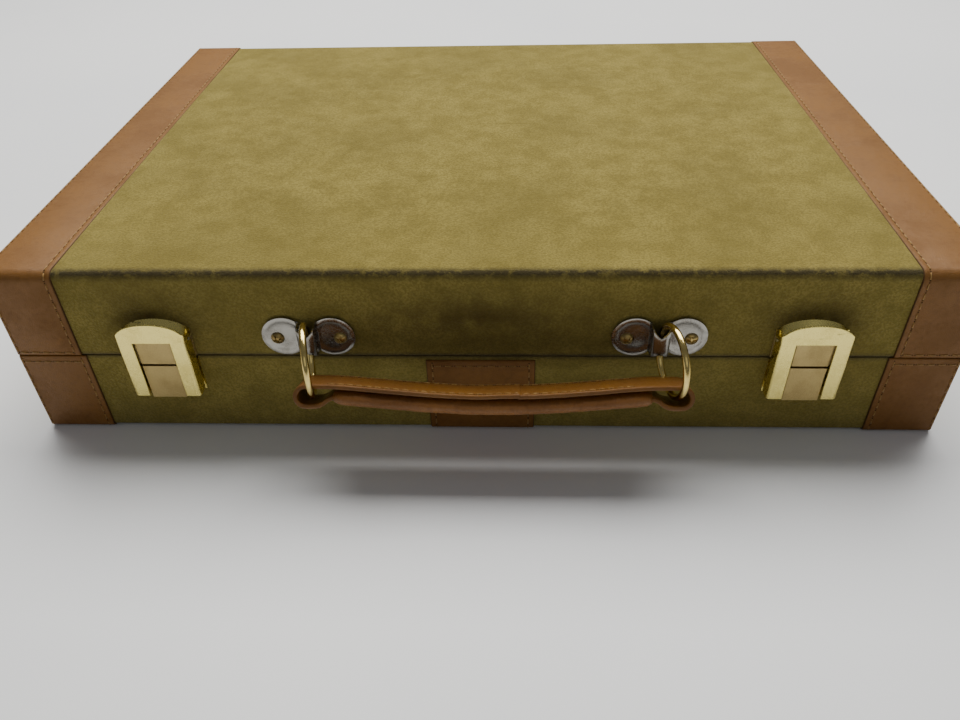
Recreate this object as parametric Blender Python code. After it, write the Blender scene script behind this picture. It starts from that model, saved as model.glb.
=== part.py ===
"""A hard-sided case for printing type: suede and leather over boards, two hasp latches, a ring-hung handle.

Lengths below are millimetres, and node() makes them metres. The case sits on z = 0 with its front towards -Y.
"""

import math

import bmesh
import bpy

MM = 0.001
GAP = 0.3

WIDTH = 457.0
DEPTH = 328.0
HEIGHT = 94.8
PARTING_Z = 47.4
RIM_GAP = 0.2
LEATHER_T = 1.2
LEATHER_EDGE_R = 5.0
SUEDE_STEP = 1.5
SUEDE_T = 1.0
SUEDE_EDGE_R = 3.5
SUEDE_CORNER_R = 4.0
BOARD_T = 6.0
WALL_T = 7.0
LINING_T = 0.8

LID_BAND_X = (195.0, 227.0)
BASE_BAND_X = (193.0, 227.0)
CENTRE_BAND_X = (-26.0, 27.0)
CENTRE_BAND_TOP_Z = 45.0

BRACKET_X = (-80.7, 84.3)
BRACKET_Z = 60.0
BRACKET_HALF = 22.3
BRACKET_LOBE_R = 10.75
BRACKET_SCREW_X = 15.0
TUNNEL_OUT = 5.9

RING_R = 16.1
RING_WIRE_R = 1.6
RING_BACK_OUT = 2.35
RING_LEAN = math.radians(12.0)
RING_Z = 59.5

HANDLE_TILT = math.radians(24.0)
STRAP_T = 2.0
STRAP_HALF_WIDTH = 8.5
STRAP_TOP_N = -5.97
STRAP_LOOP_N = 3.53
STRAP_CORE_N = -0.2
LOOP_ARC_X = (-77.5, 91.1)
HANDLE_DROOP = 4.5
PAD_X = (-66.0, 79.6)

LATCH_X = (-154.0, 154.0)
HASP_HALF = 16.5
HASP_BOTTOM_Z = 28.5
HASP_SHOULDER_Z = 63.5
HASP_CROWN = 8.0
HASP_OUT = 7.4
HASP_T = 1.2
WINDOW_HALF = 9.0
WINDOW_TOP_Z = 60.8
PIVOT_OUT = 3.0
PIVOT_Z = 60.5

HINGE_X = (-110.0, 110.0)
HINGE_LEAF_T = 1.2
HINGE_AXIS_Y = 165.4
KNUCKLE_R = 2.0
KNUCKLE_LENGTH = 12.0

TRAY_FLOOR_T = 3.0
TRAY_WALL_T = 6.0
TRAY_TOP_Z = 42.0
DIVIDER_TOP_Z = 39.0
LONG_DIVIDER_T = 3.0
CROSS_DIVIDER_T = 2.5
LONG_DIVIDERS_Y = (-75.0, 0.0, 75.0)
CROSS_DIVIDERS_X = (-128.0, -43.0, 43.0, 128.0)
SLOT_Z = 26.0

SUEDE_Y = DEPTH / 2 - SUEDE_STEP
SUEDE_X = WIDTH / 2
BOARD_Y = SUEDE_Y - SUEDE_T - GAP
BOARD_X = SUEDE_X - SUEDE_T - GAP
BOARD_Z = SUEDE_STEP + SUEDE_T + GAP
LINING_X = BOARD_X - WALL_T - GAP
LINING_Y = BOARD_Y - WALL_T - GAP
LINING_Z = BOARD_Z + BOARD_T + GAP
RIM_Z = PARTING_Z - RIM_GAP


class Body:
    """Closed solids gathered for one node, as points and faces."""

    def __init__(self):
        self.points = []
        self.faces = []

    def add(self, points, faces):
        start = len(self.points)
        self.points.extend(points)
        self.faces.extend([[start + index for index in face] for face in faces])


def loft(body, loops, closed=False):
    """Quads between loops of equal length, capped at both ends unless the loops close on themselves."""
    count = len(loops[0])
    faces = []
    for level in range(len(loops) if closed else len(loops) - 1):
        low = level * count
        high = (level + 1) % len(loops) * count
        for index in range(count):
            after = (index + 1) % count
            faces.append([low + index, low + after, high + after, high + index])
    if not closed:
        faces.append(list(range(count)))
        faces.append([(len(loops) - 1) * count + index for index in range(count)])
    body.add([point for loop in loops for point in loop], faces)


def prism(body, outline, axis, start, end):
    """An outline in the two other axes, in x, y, z order, run along one axis."""
    loops = []
    for at in (start, end):
        loop = []
        for pair in outline:
            point = list(pair)
            point.insert(axis, at)
            loop.append(tuple(point))
        loops.append(loop)
    loft(body, loops)


def box(body, low, high):
    outline = ((low[0], low[1]), (high[0], low[1]), (high[0], high[1]), (low[0], high[1]))
    prism(body, outline, 2, low[2], high[2])


def sheet(body, grid, present):
    """A plate of cells: grid[i][j] holds the two sides' points, and present(i, j) says which cells are there."""
    rows = len(grid[0])
    points = [point for line in grid for pair in line for point in pair]

    def at(i, j, side):
        return (i * rows + j) * 2 + side

    def there(i, j):
        return 0 <= i < len(grid) - 1 and 0 <= j < rows - 1 and present(i, j)

    faces = []
    for i in range(len(grid) - 1):
        for j in range(rows - 1):
            if not there(i, j):
                continue
            for side in (0, 1):
                faces.append([at(i, j, side), at(i + 1, j, side), at(i + 1, j + 1, side), at(i, j + 1, side)])
            edges = (
                ((i, j), (i + 1, j), (i, j - 1)),
                ((i, j + 1), (i + 1, j + 1), (i, j + 1)),
                ((i, j), (i, j + 1), (i - 1, j)),
                ((i + 1, j), (i + 1, j + 1), (i + 1, j)),
            )
            for first, second, beyond in edges:
                if not there(*beyond):
                    faces.append([at(*first, 0), at(*second, 0), at(*second, 1), at(*first, 1)])
    body.add(points, faces)


def both_sides(path, thickness, closed=False):
    """For each point of a flat path, the two points half a thickness to either side, mitred."""
    pairs = []
    count = len(path)
    for index, point in enumerate(path):
        before = path[index - 1] if index or closed else point
        after = path[(index + 1) % count] if index < count - 1 or closed else point
        normals = []
        for first, second in ((before, point), (point, after)):
            along = (second[0] - first[0], second[1] - first[1])
            length = math.hypot(*along)
            if length > 0:
                normals.append((-along[1] / length, along[0] / length))
        mean = (sum(n[0] for n in normals), sum(n[1] for n in normals))
        scale = math.hypot(*mean)
        mean = (mean[0] / scale, mean[1] / scale)
        reach = thickness / 2 / max(0.5, mean[0] * normals[0][0] + mean[1] * normals[0][1])
        pairs.append(
            (
                (point[0] - mean[0] * reach, point[1] - mean[1] * reach),
                (point[0] + mean[0] * reach, point[1] + mean[1] * reach),
            )
        )
    return pairs


def lathe(body, profile, centre, axis, count):
    """A profile of (radius, height) turned about the line through centre along +/-Y or +/-X."""
    loops = []
    for radius, height in profile:
        loop = []
        for index in range(count):
            turn = math.tau * (index + 0.5) / count
            one = radius * math.cos(turn)
            two = radius * math.sin(turn)
            if axis == "x":
                loop.append((centre[0] + height, centre[1] + one, centre[2] + two))
            else:
                sign = -1.0 if axis == "-y" else 1.0
                loop.append((centre[0] + one, centre[1] + sign * height, centre[2] + two))
        loops.append(loop)
    loft(body, loops)


def rounded(half_x, half_y, radius, z):
    """A level rectangle with round corners."""
    loop = []
    for quarter in range(4):
        for step in range(4):
            turn = math.pi / 2 * (quarter + step / 3)
            centre_x = (half_x - radius) * (1 if quarter in (0, 3) else -1)
            centre_y = (half_y - radius) * (1 if quarter in (0, 1) else -1)
            loop.append((centre_x + radius * math.cos(turn), centre_y + radius * math.sin(turn), z))
    return loop


def edge_loops(half_x, half_y, corner, edge, rim, face, steps=4):
    """Loops from the rim to a flat face, with a rounded edge between. The face may be above or below the rim."""
    sign = 1 if face > rim else -1
    loops = [rounded(half_x, half_y, corner, rim)]
    for step in range(steps + 1):
        turn = math.pi / 2 * step / steps
        inset = edge * (1 - math.cos(turn))
        z = face - sign * edge * (1 - math.sin(turn))
        loops.append(rounded(half_x - inset, half_y - inset, corner - inset, z))
    return loops


def flipped(z, upper):
    """A height given for the base, or its mirror for the lid."""
    return HEIGHT - z if upper else z


def material(name, colour, roughness, metallic=0.0):
    made = bpy.data.materials.new(name)
    made.use_nodes = True
    shader = made.node_tree.nodes["Principled BSDF"]
    shader.inputs["Base Color"].default_value = (*colour, 1.0)
    shader.inputs["Roughness"].default_value = roughness
    shader.inputs["Metallic"].default_value = metallic
    return made


def node(name, body, made_of, origin=(0.0, 0.0, 0.0), angle=32.0):
    """One object from a body, in metres, with its origin where it is asked for."""
    mesh = bpy.data.meshes.new(name)
    points = [[(point[i] - origin[i]) * MM for i in range(3)] for point in body.points]
    mesh.from_pydata(points, [], body.faces)
    work = bmesh.new()
    work.from_mesh(mesh)
    bmesh.ops.remove_doubles(work, verts=work.verts, dist=1e-6)
    bmesh.ops.delete(work, geom=[v for v in work.verts if not v.link_faces], context="VERTS")
    bmesh.ops.recalc_face_normals(work, faces=work.faces)
    work.to_mesh(mesh)
    work.free()
    mesh.shade_smooth()
    mesh.set_sharp_from_angle(angle=math.radians(angle))
    mesh.materials.append(made_of())
    made = bpy.data.objects.new(name, mesh)
    made.location = [value * MM for value in origin]
    bpy.context.scene.collection.objects.link(made)
    return made


def helper(name, body):
    """A hidden solid for a Boolean."""
    mesh = bpy.data.meshes.new(name)
    mesh.from_pydata([[value * MM for value in point] for point in body.points], [], body.faces)
    work = bmesh.new()
    work.from_mesh(mesh)
    bmesh.ops.recalc_face_normals(work, faces=work.faces)
    work.to_mesh(mesh)
    work.free()
    made = bpy.data.objects.new(name, mesh)
    made.hide_render = True
    made.display_type = "WIRE"
    bpy.context.scene.collection.objects.link(made)
    return made


def combine(target, tool, operation):
    step = target.modifiers.new(operation.title(), "BOOLEAN")
    step.operation = operation
    step.solver = "EXACT"
    step.object = tool


def suede():
    return material("suede", (0.30, 0.26, 0.11), 0.95)


def leather():
    return material("leather", (0.34, 0.17, 0.07), 0.55)


def handle_leather():
    return material("handle_leather", (0.40, 0.22, 0.07), 0.4)


def brass():
    return material("brass", (0.72, 0.60, 0.27), 0.3, 1.0)


def dull_brass():
    return material("dull_brass", (0.48, 0.38, 0.19), 0.45, 1.0)


def nickel():
    return material("nickel", (0.66, 0.64, 0.58), 0.18, 1.0)


def steel():
    return material("steel", (0.45, 0.45, 0.46), 0.35, 1.0)


def plywood():
    return material("plywood", (0.52, 0.38, 0.22), 0.75)


def tray_wood():
    return material("tray_wood", (0.42, 0.25, 0.12), 0.65)


def lining_cloth():
    return material("lining_cloth", (0.20, 0.15, 0.09), 0.9)


def make_boards(side, upper):
    """The flat board and four walls of one half."""
    outer = flipped(BOARD_Z, upper)
    inner = flipped(BOARD_Z + BOARD_T, upper)
    face = Body()
    loft(face, edge_loops(BOARD_X, BOARD_Y, 2.7, 2.2, inner, outer, 2))
    node(side + ("_top_board" if upper else "_bottom_board"), face, plywood)
    low = flipped(BOARD_Z + BOARD_T + GAP, upper)
    high = flipped(RIM_Z - 0.4, upper)
    for label, sign in (("front", -1), ("back", 1)):
        wall = Body()
        outline = (
            (-BOARD_X, sign * (BOARD_Y - WALL_T)),
            (-BOARD_X, sign * (BOARD_Y - 2.2)),
            (-BOARD_X + 2.2, sign * BOARD_Y),
            (BOARD_X - 2.2, sign * BOARD_Y),
            (BOARD_X, sign * (BOARD_Y - 2.2)),
            (BOARD_X, sign * (BOARD_Y - WALL_T)),
        )
        prism(wall, outline, 2, low, high)
        node(f"{side}_{label}_board", wall, plywood)
    for label, sign in (("left", -1), ("right", 1)):
        wall = Body()
        end = BOARD_Y - WALL_T - GAP
        box(wall, (sign * (BOARD_X - WALL_T), -end, low), (sign * BOARD_X, end, high))
        node(f"{side}_{label}_board", wall, plywood)


def make_skins(side, upper):
    """The suede outside and the cloth inside of one half."""
    rim = flipped(RIM_Z, upper)
    cover = Body()
    outer = edge_loops(SUEDE_X, SUEDE_Y, SUEDE_CORNER_R, SUEDE_EDGE_R, rim, flipped(SUEDE_STEP, upper))
    inner = edge_loops(
        SUEDE_X - SUEDE_T,
        SUEDE_Y - SUEDE_T,
        SUEDE_CORNER_R - SUEDE_T,
        SUEDE_EDGE_R - SUEDE_T,
        rim,
        flipped(SUEDE_STEP + SUEDE_T, upper),
    )
    loft(cover, outer[::-1] + inner)
    node(side + "_cover", cover, suede)
    rim = flipped(RIM_Z - 0.4, upper)
    lining = Body()
    outer = edge_loops(LINING_X, LINING_Y, 1.6, 1.3, rim, flipped(LINING_Z, upper), 2)
    inner = edge_loops(LINING_X - LINING_T, LINING_Y - LINING_T, 0.8, 0.5, rim, flipped(LINING_Z + LINING_T, upper), 2)
    loft(lining, outer[::-1] + inner)
    node(side + "_lining", lining, lining_cloth)


def band_line(inset, radius, rim, upper):
    """The run of a band from the front rim, round the flat side, to the back rim."""
    half = DEPTH / 2 - inset
    line = [(-half, rim)]
    for step in range(5):
        turn = math.pi / 2 * step / 4
        z = inset + radius * (1 - math.sin(turn))
        line.append((-half + radius * (1 - math.cos(turn)), flipped(z, upper)))
    return line + [(-y, z) for y, z in line[::-1]]


def make_band(name, ends, rim, upper):
    line = band_line(0.0, LEATHER_EDGE_R, rim, upper)
    back = band_line(LEATHER_T, LEATHER_EDGE_R - LEATHER_T, rim, upper)
    band = Body()
    prism(band, line + back[::-1], 0, min(ends), max(ends))
    node(name, band, leather)


def make_bands():
    for label, sign in (("left", -1), ("right", 1)):
        make_band("lid_band_" + label, [sign * x for x in LID_BAND_X], flipped(RIM_Z, True), True)
        make_band("base_band_" + label, [sign * x for x in BASE_BAND_X], RIM_Z, False)
    make_band("base_band_centre", CENTRE_BAND_X, CENTRE_BAND_TOP_Z, False)


def front(out):
    """The Y of a point this far in front of the leather face."""
    return -DEPTH / 2 - out


def bracket_heights(x):
    """The bracket's bottom and top edge at a distance from its middle."""
    x = abs(x)
    lobe = math.sqrt(BRACKET_LOBE_R**2 - (max(x, 4.3) - BRACKET_HALF + BRACKET_LOBE_R) ** 2)
    ease = (min(x, 4.3) / 4.3) ** 1.5
    top = 63.0 + ease * (BRACKET_Z + lobe - 63.0)
    bottom = 53.4 + ease * (BRACKET_Z - lobe - 53.4)
    return bottom, top


def make_bracket(name, centre):
    half = [(-21.87, -0.7), (-20.8, -0.7), (-19.0, -0.7), (-16.6, -0.7), (-13.4, -0.7), (-10.5, -0.7), (-7.5, -0.7)]
    half += [(-5.3, -0.7), (-4.4, 0.1), (-3.95, 1.6), (-3.95, 4.6), (-3.5, 5.5), (-2.5, TUNNEL_OUT)]
    path = half + [(0.0, TUNNEL_OUT)] + [(-x, out) for x, out in half[::-1]]
    grid = []
    for (x, _), pair in zip(path, both_sides(path, 1.0)):
        bottom, top = bracket_heights(x)
        line = []
        for z in (bottom, BRACKET_Z - 1.6, BRACKET_Z + 1.6, top):
            line.append([(centre + side[0], front(side[1]), z) for side in pair])
        grid.append(line)
    last = len(path) - 2
    plate = Body()
    sheet(plate, grid, lambda i, j: not (j == 1 and i in (3, last - 3)))
    node(name, plate, nickel)


def make_bracket_screws():
    profile = ((1.3, -1.3), (1.3, 0.0), (3.2, 0.0), (3.2, 0.35), (2.8, 0.95), (1.7, 1.45), (0.5, 1.6))
    for bracket, centre in enumerate(BRACKET_X):
        for side, sign in enumerate((-1, 1)):
            screw = Body()
            lathe(screw, profile, (centre + sign * BRACKET_SCREW_X, front(0.1), BRACKET_Z), "-y", 16)
            node(f"bracket_screw_{2 * bracket + side + 1}", screw, brass)


def ring_centre(bracket):
    return (
        bracket + RING_R * math.sin(RING_LEAN),
        front(RING_BACK_OUT) - RING_R * math.cos(RING_LEAN),
        RING_Z,
    )


def make_ring(name, bracket):
    centre = ring_centre(bracket)
    loops = []
    for step in range(32):
        turn = math.tau * step / 32
        loop = []
        for index in range(10):
            around = math.tau * index / 10
            reach = RING_R + RING_WIRE_R * math.cos(around)
            side = RING_WIRE_R * math.sin(around)
            out = reach * math.cos(turn)
            x = out * math.sin(RING_LEAN) + side * math.cos(RING_LEAN)
            y = -out * math.cos(RING_LEAN) + side * math.sin(RING_LEAN)
            loop.append((centre[0] + x, centre[1] + y, centre[2] + reach * math.sin(turn)))
        loops.append(loop)
    ring = Body()
    loft(ring, loops, closed=True)
    node(name, ring, brass, centre, 60.0)


def handle_point(x, across, radial):
    """A point given along the handle, across it, and out from the line through the ring centres."""
    axis_y = ring_centre(0.0)[1]
    out = across * math.cos(HANDLE_TILT) + radial * math.sin(HANDLE_TILT)
    up = across * math.sin(HANDLE_TILT) - radial * math.cos(HANDLE_TILT)
    return (x, axis_y - out, RING_Z + up)


def handle_origin():
    return (sum(LOOP_ARC_X) / 2, ring_centre(0.0)[1], RING_Z)


def droop(x):
    middle = sum(LOOP_ARC_X) / 2
    part = min(1.0, abs(x - middle) / 74.0)
    return HANDLE_DROOP * (1 - part**2) ** 1.5


def spaced(start, end, count):
    return [start + (end - start) * index / (count - 1) for index in range(count)]


def strap_path():
    """The strap's middle line: over the top, round the right ring, back through the grip, round the left ring."""
    left, right = LOOP_ARC_X
    middle_n = (STRAP_TOP_N + STRAP_LOOP_N) / 2
    radius = (STRAP_LOOP_N - STRAP_TOP_N) / 2
    path = [(x, STRAP_TOP_N + droop(x), 8.5 + droop(x) / 9) for x in spaced(left + 4.0, right - 4.0, 17)]
    for step in range(9):
        turn = math.pi * step / 8
        path.append((right + radius * math.sin(turn), middle_n - radius * math.cos(turn), STRAP_HALF_WIDTH))
    path.append((right - 4.5, STRAP_LOOP_N, STRAP_HALF_WIDTH))
    path.append((right - 7.5, STRAP_LOOP_N - 1.2, STRAP_HALF_WIDTH))
    path.append((right - 10.0, STRAP_CORE_N + 0.3, 6.5))
    path += [(x, STRAP_CORE_N + droop(x), 6.5) for x in spaced(right - 12.5, left + 12.5, 15)]
    path.append((left + 10.0, STRAP_CORE_N + 0.3, 6.5))
    path.append((left + 7.5, STRAP_LOOP_N - 1.2, STRAP_HALF_WIDTH))
    path.append((left + 4.5, STRAP_LOOP_N, STRAP_HALF_WIDTH))
    for step in range(9):
        turn = math.pi * (1 + step / 8)
        path.append((left + radius * math.sin(turn), middle_n - radius * math.cos(turn), STRAP_HALF_WIDTH))
    return path


def make_strap():
    path = strap_path()
    loops = []
    for (_, _, half), pair in zip(path, both_sides([point[:2] for point in path], STRAP_T, closed=True)):
        loop = []
        for side, sign in ((0, -1), (0, 1), (1, 1), (1, -1)):
            x, n = pair[side]
            loop.append(handle_point(x, sign * half, RING_R + n))
        loops.append(loop)
    strap = Body()
    loft(strap, loops, closed=True)
    node("handle_strap", strap, handle_leather, handle_origin())


def make_grip():
    """The padded grip, with a slot through it for the strap."""
    outer = []
    inner = []
    for x in spaced(PAD_X[0], PAD_X[1], 17):
        end = min(1.0, min(x - PAD_X[0], PAD_X[1] - x) / 14.0)
        half = 8.6 + 0.9 * math.sin(end * math.pi / 2)
        under = 3.0 + 0.9 * math.sin(end * math.pi / 2)
        loop = []
        for index in range(16):
            turn = math.tau * (index + 0.5) / 16
            across = half * math.copysign(abs(math.cos(turn)) ** 0.6, math.cos(turn))
            middle = (under - 4.6) / 2
            radial = middle + (under + 4.6) / 2 * math.copysign(abs(math.sin(turn)) ** 0.7, math.sin(turn))
            loop.append(handle_point(x, across, RING_R + radial + droop(x)))
        outer.append(loop)
        slot = []
        for index in range(16):
            turn = math.tau * (index + 0.5) / 16
            across = 7.1 * math.copysign(abs(math.cos(turn)) ** 0.3, math.cos(turn))
            radial = STRAP_CORE_N + 1.75 * math.copysign(abs(math.sin(turn)) ** 0.3, math.sin(turn))
            slot.append(handle_point(x, across, RING_R + radial + droop(x)))
        inner.append(slot)
    grip = Body()
    loft(grip, outer + inner[::-1], closed=True)
    node("handle_grip", grip, handle_leather, handle_origin(), 50.0)


def arch(x, half, base, rise):
    return base + rise * math.sqrt(max(0.0, 1 - (x / half) ** 2))


def make_hasp(name, centre):
    half = [(-15.9, 1.0), (-15.9, 1.9), (-15.9, 4.1), (-15.9, 6.4), (-15.0, HASP_OUT), (-12.0, HASP_OUT)]
    half += [(-WINDOW_HALF, HASP_OUT), (-6.0, HASP_OUT), (-3.0, HASP_OUT)]
    path = half + [(0.0, HASP_OUT)] + [(-x, out) for x, out in half[::-1]]
    grid = []
    for index, pair in enumerate(both_sides(path, HASP_T)):
        flange = min(index, len(path) - 1 - index)
        if flange < 4:
            heights = (HASP_BOTTOM_Z, 59.4, 61.6, (62.4, 62.6, 62.9, 63.2)[flange])
        else:
            top = arch(path[index][0], HASP_HALF, HASP_SHOULDER_Z, HASP_CROWN)
            heights = (HASP_BOTTOM_Z, 50.0, WINDOW_TOP_Z, top)
        grid.append([[(centre + side[0], front(side[1]), z) for side in pair] for z in heights])
    last = len(path) - 2

    def present(i, j):
        in_window = 6 <= i <= last - 6 and j < 2
        in_eye = i in (1, last - 1) and j == 1
        return not in_window and not in_eye

    hasp = Body()
    sheet(hasp, grid, present)
    node(name, hasp, brass, (centre, front(PIVOT_OUT), PIVOT_Z))


def make_housing(name, centre):
    """The lid half of a latch: back plate, arched block and raised panel, bored for the pivot pin."""
    low = flipped(RIM_Z - 0.3, True)
    stations = [(-16.5, 0), (-15.0, 0), (-14.9, 1), (-12.0, 1), (-8.6, 1), (-8.2, 2), (-4.0, 2), (0.0, 2)]
    stations += [(-x, kind) for x, kind in stations[-2::-1]]
    loops = []
    for x, kind in stations:
        block = -0.2 if kind == 0 else 5.9
        panel = 6.7 if kind == 2 else block
        top = 63.9 if kind == 0 else arch(x, 16.0, 61.6, 7.8)
        shoulder = 63.9 if kind == 0 else min(62.2, top - 0.6)
        outline = ((-1.2, low), (panel, low), (panel, 60.3), (block, 60.3), (block, shoulder), (-1.2, top))
        loops.append([(centre + x, front(out), z) for out, z in outline])
    housing = Body()
    loft(housing, loops)
    made = node(name, housing, dull_brass)
    bore = Body()
    lathe(bore, ((1.1, -20.0), (1.1, 20.0)), (centre, front(PIVOT_OUT), PIVOT_Z), "x", 12)
    combine(made, helper(name + "_bore", bore), "DIFFERENCE")


def make_pin(name, centre):
    pin = Body()
    lathe(pin, ((0.8, -16.9), (0.8, 16.9)), (centre, front(PIVOT_OUT), PIVOT_Z), "x", 12)
    node(name, pin, steel)


def make_latch_base(name, centre):
    """The base half of a latch: back plate, two guide cheeks and the spring seat."""
    loops = []
    for z, cheek in ((27.0, -0.2), (29.6, -0.2), (30.0, 5.9), (RIM_Z - 0.3, 5.9)):
        half = [(16.5, -1.2), (16.5, -0.2), (14.6, -0.2), (14.6, cheek), (9.2, cheek), (9.2, -0.2)]
        outline = half + [(-x, out) for x, out in half[::-1]]
        loops.append([(centre + x, front(out), z) for x, out in outline])
    plate = Body()
    loft(plate, loops)
    made = node(name, plate, brass)
    seat = Body()
    box(seat, (centre - 2.5, front(4.6), 28.2), (centre + 2.5, front(-0.7), 31.2))
    combine(made, helper(name + "_seat", seat), "UNION")


def make_tab(name, centre):
    top = RIM_Z - 0.6
    shell = Body()
    box(shell, (centre - 8.4, front(6.7), 27.0), (centre + 8.4, front(0.6), top))
    made = node(name, shell, dull_brass, (centre, front(3.6), 37.0))
    hollow = Body()
    box(hollow, (centre - 7.2, front(5.5), 25.0), (centre + 7.2, front(-0.5), top - 1.2))
    combine(made, helper(name + "_hollow", hollow), "DIFFERENCE")


def make_spring(name, centre):
    turns = 6
    steps = 12 * turns
    loops = []
    for step in range(steps + 1):
        turn = math.tau * turns * step / steps
        z = 31.9 + 12.9 * step / steps
        loop = []
        for index in range(5):
            around = math.tau * index / 5
            reach = 1.7 + 0.35 * math.cos(around)
            x = centre + reach * math.cos(turn)
            y = front(2.7) + reach * math.sin(turn)
            loop.append((x, y, z + 0.35 * math.sin(around)))
        loops.append(loop)
    spring = Body()
    loft(spring, loops)
    node(name, spring, steel, angle=80.0)


def hinge_path(sign):
    """A hinge leaf's section, from its free edge to the end of the curl round the pin."""
    plane = HINGE_AXIS_Y - KNUCKLE_R
    heights = (15.0, 11.0, 7.0, 3.4)
    path = [(plane, PARTING_Z + sign * height) for height in heights]
    for step in range(12):
        turn = math.radians(300) * step / 11
        y = HINGE_AXIS_Y - KNUCKLE_R * math.cos(turn)
        path.append((y, PARTING_Z - sign * KNUCKLE_R * math.sin(turn)))
    return path


def make_hinge_leaf(name, centre, upper):
    path = hinge_path(1 if upper else -1)
    edges = [-30.0, -18.15, -17.85, -6.15, -5.85, 5.85, 6.15, 17.85, 18.15, 30.0]
    pairs = both_sides(path, HINGE_LEAF_T)
    grid = [[[(centre + x, y, z) for y, z in pair] for pair in pairs] for x in edges]

    def present(i, j):
        middle = abs(edges[i] + edges[i + 1]) / 2
        if j < 3:
            return True
        if upper:
            return 6.15 < middle < 17.85
        return middle > 18.15 or middle < 5.85

    leaf = Body()
    sheet(leaf, grid, present)
    made = node(name, leaf, brass)
    face = HINGE_AXIS_Y - KNUCKLE_R + HINGE_LEAF_T / 2
    profile = ((2.2, -0.5), (2.2, 0.2), (1.3, 0.75), (0.4, 0.9))
    rivets = Body()
    for across in (-23.0, 0.0, 23.0):
        rivet_z = PARTING_Z + (9.0 if upper else -9.0)
        lathe(rivets, profile, (centre + across, face, rivet_z), "y", 12)
    combine(made, helper(name + "_rivets", rivets), "UNION")


def make_hinges():
    for label, centre in zip(("left", "right"), HINGE_X):
        make_hinge_leaf("lid_hinge_leaf_" + label, centre, True)
        make_hinge_leaf("base_hinge_leaf_" + label, centre, False)
        pin = Body()
        profile = ((1.0, -30.3), (1.0, 30.3))
        lathe(pin, profile, (centre, HINGE_AXIS_Y, PARTING_Z), "x", 12)
        node("hinge_pin_" + label, pin, steel)


def make_tray():
    """A wooden tray of lay compartments, standing on the base lining."""
    half_x = LINING_X - LINING_T - 0.8
    half_y = LINING_Y - LINING_T - 0.8
    floor_z = LINING_Z + LINING_T + GAP
    low = floor_z + TRAY_FLOOR_T + GAP
    floor = Body()
    box(floor, (-half_x, -half_y, floor_z), (half_x, half_y, floor_z + TRAY_FLOOR_T))
    node("tray_floor", floor, tray_wood)
    inner_x = half_x - TRAY_WALL_T
    inner_y = half_y - TRAY_WALL_T
    for label, sign in (("front", -1), ("back", 1)):
        wall = Body()
        box(wall, (-half_x, sign * inner_y, low), (half_x, sign * half_y, TRAY_TOP_Z))
        node(f"tray_{label}_wall", wall, tray_wood)
    for label, sign in (("left", -1), ("right", 1)):
        wall = Body()
        box(wall, (sign * inner_x, GAP - inner_y, low), (sign * half_x, inner_y - GAP, TRAY_TOP_Z))
        node(f"tray_{label}_wall", wall, tray_wood)
    make_dividers(inner_x - GAP, inner_y - GAP, low)


def slotted(start, end, low, crossings, slot, from_top):
    """The outline of a divider, with a slot at each crossing that runs in from its top or its bottom edge."""
    edge = DIVIDER_TOP_Z if from_top else low
    depth = SLOT_Z if from_top else SLOT_Z + GAP
    outline = [(start, edge)]
    for at in crossings:
        outline += [(at - slot / 2, edge), (at - slot / 2, depth), (at + slot / 2, depth), (at + slot / 2, edge)]
    outline.append((end, edge))
    other = low if from_top else DIVIDER_TOP_Z
    return outline + [(end, other), (start, other)]


def make_dividers(half_x, half_y, low):
    slot = CROSS_DIVIDER_T + 2 * GAP
    for index, y in enumerate(LONG_DIVIDERS_Y):
        divider = Body()
        half = LONG_DIVIDER_T / 2
        prism(divider, slotted(-half_x, half_x, low, CROSS_DIVIDERS_X, slot, True), 1, y - half, y + half)
        node(f"tray_long_divider_{index + 1}", divider, tray_wood)
    slot = LONG_DIVIDER_T + 2 * GAP
    for index, x in enumerate(CROSS_DIVIDERS_X):
        divider = Body()
        half = CROSS_DIVIDER_T / 2
        prism(divider, slotted(-half_y, half_y, low, LONG_DIVIDERS_Y, slot, False), 0, x - half, x + half)
        node(f"tray_cross_divider_{index + 1}", divider, tray_wood)


def make_latches():
    for label, centre in zip(("left", "right"), LATCH_X):
        make_hasp("hasp_" + label, centre)
        make_housing("latch_housing_" + label, centre)
        make_latch_base("latch_base_" + label, centre)
        make_tab("thumb_tab_" + label, centre)
        make_pin("hasp_pin_" + label, centre)
        make_spring("tab_spring_" + label, centre)


def make_handle():
    for label, centre in zip(("left", "right"), BRACKET_X):
        make_bracket("bracket_" + label, centre)
        make_ring("ring_" + label, centre)
    make_bracket_screws()
    make_strap()
    make_grip()


def main():
    for old in list(bpy.data.objects):
        bpy.data.objects.remove(old, do_unlink=True)
    for side, upper in (("base", False), ("lid", True)):
        make_boards(side, upper)
        make_skins(side, upper)
    make_bands()
    make_hinges()
    make_tray()
    make_latches()
    make_handle()


main()
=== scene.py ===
"""The type case as it looks: suede, leather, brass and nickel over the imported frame.

Lengths are in millimetres until place(), except in materials, lights and the camera, which use metres.
"""

import math
import random

import bmesh
import bpy
from mathutils import Matrix, Vector, noise


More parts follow.
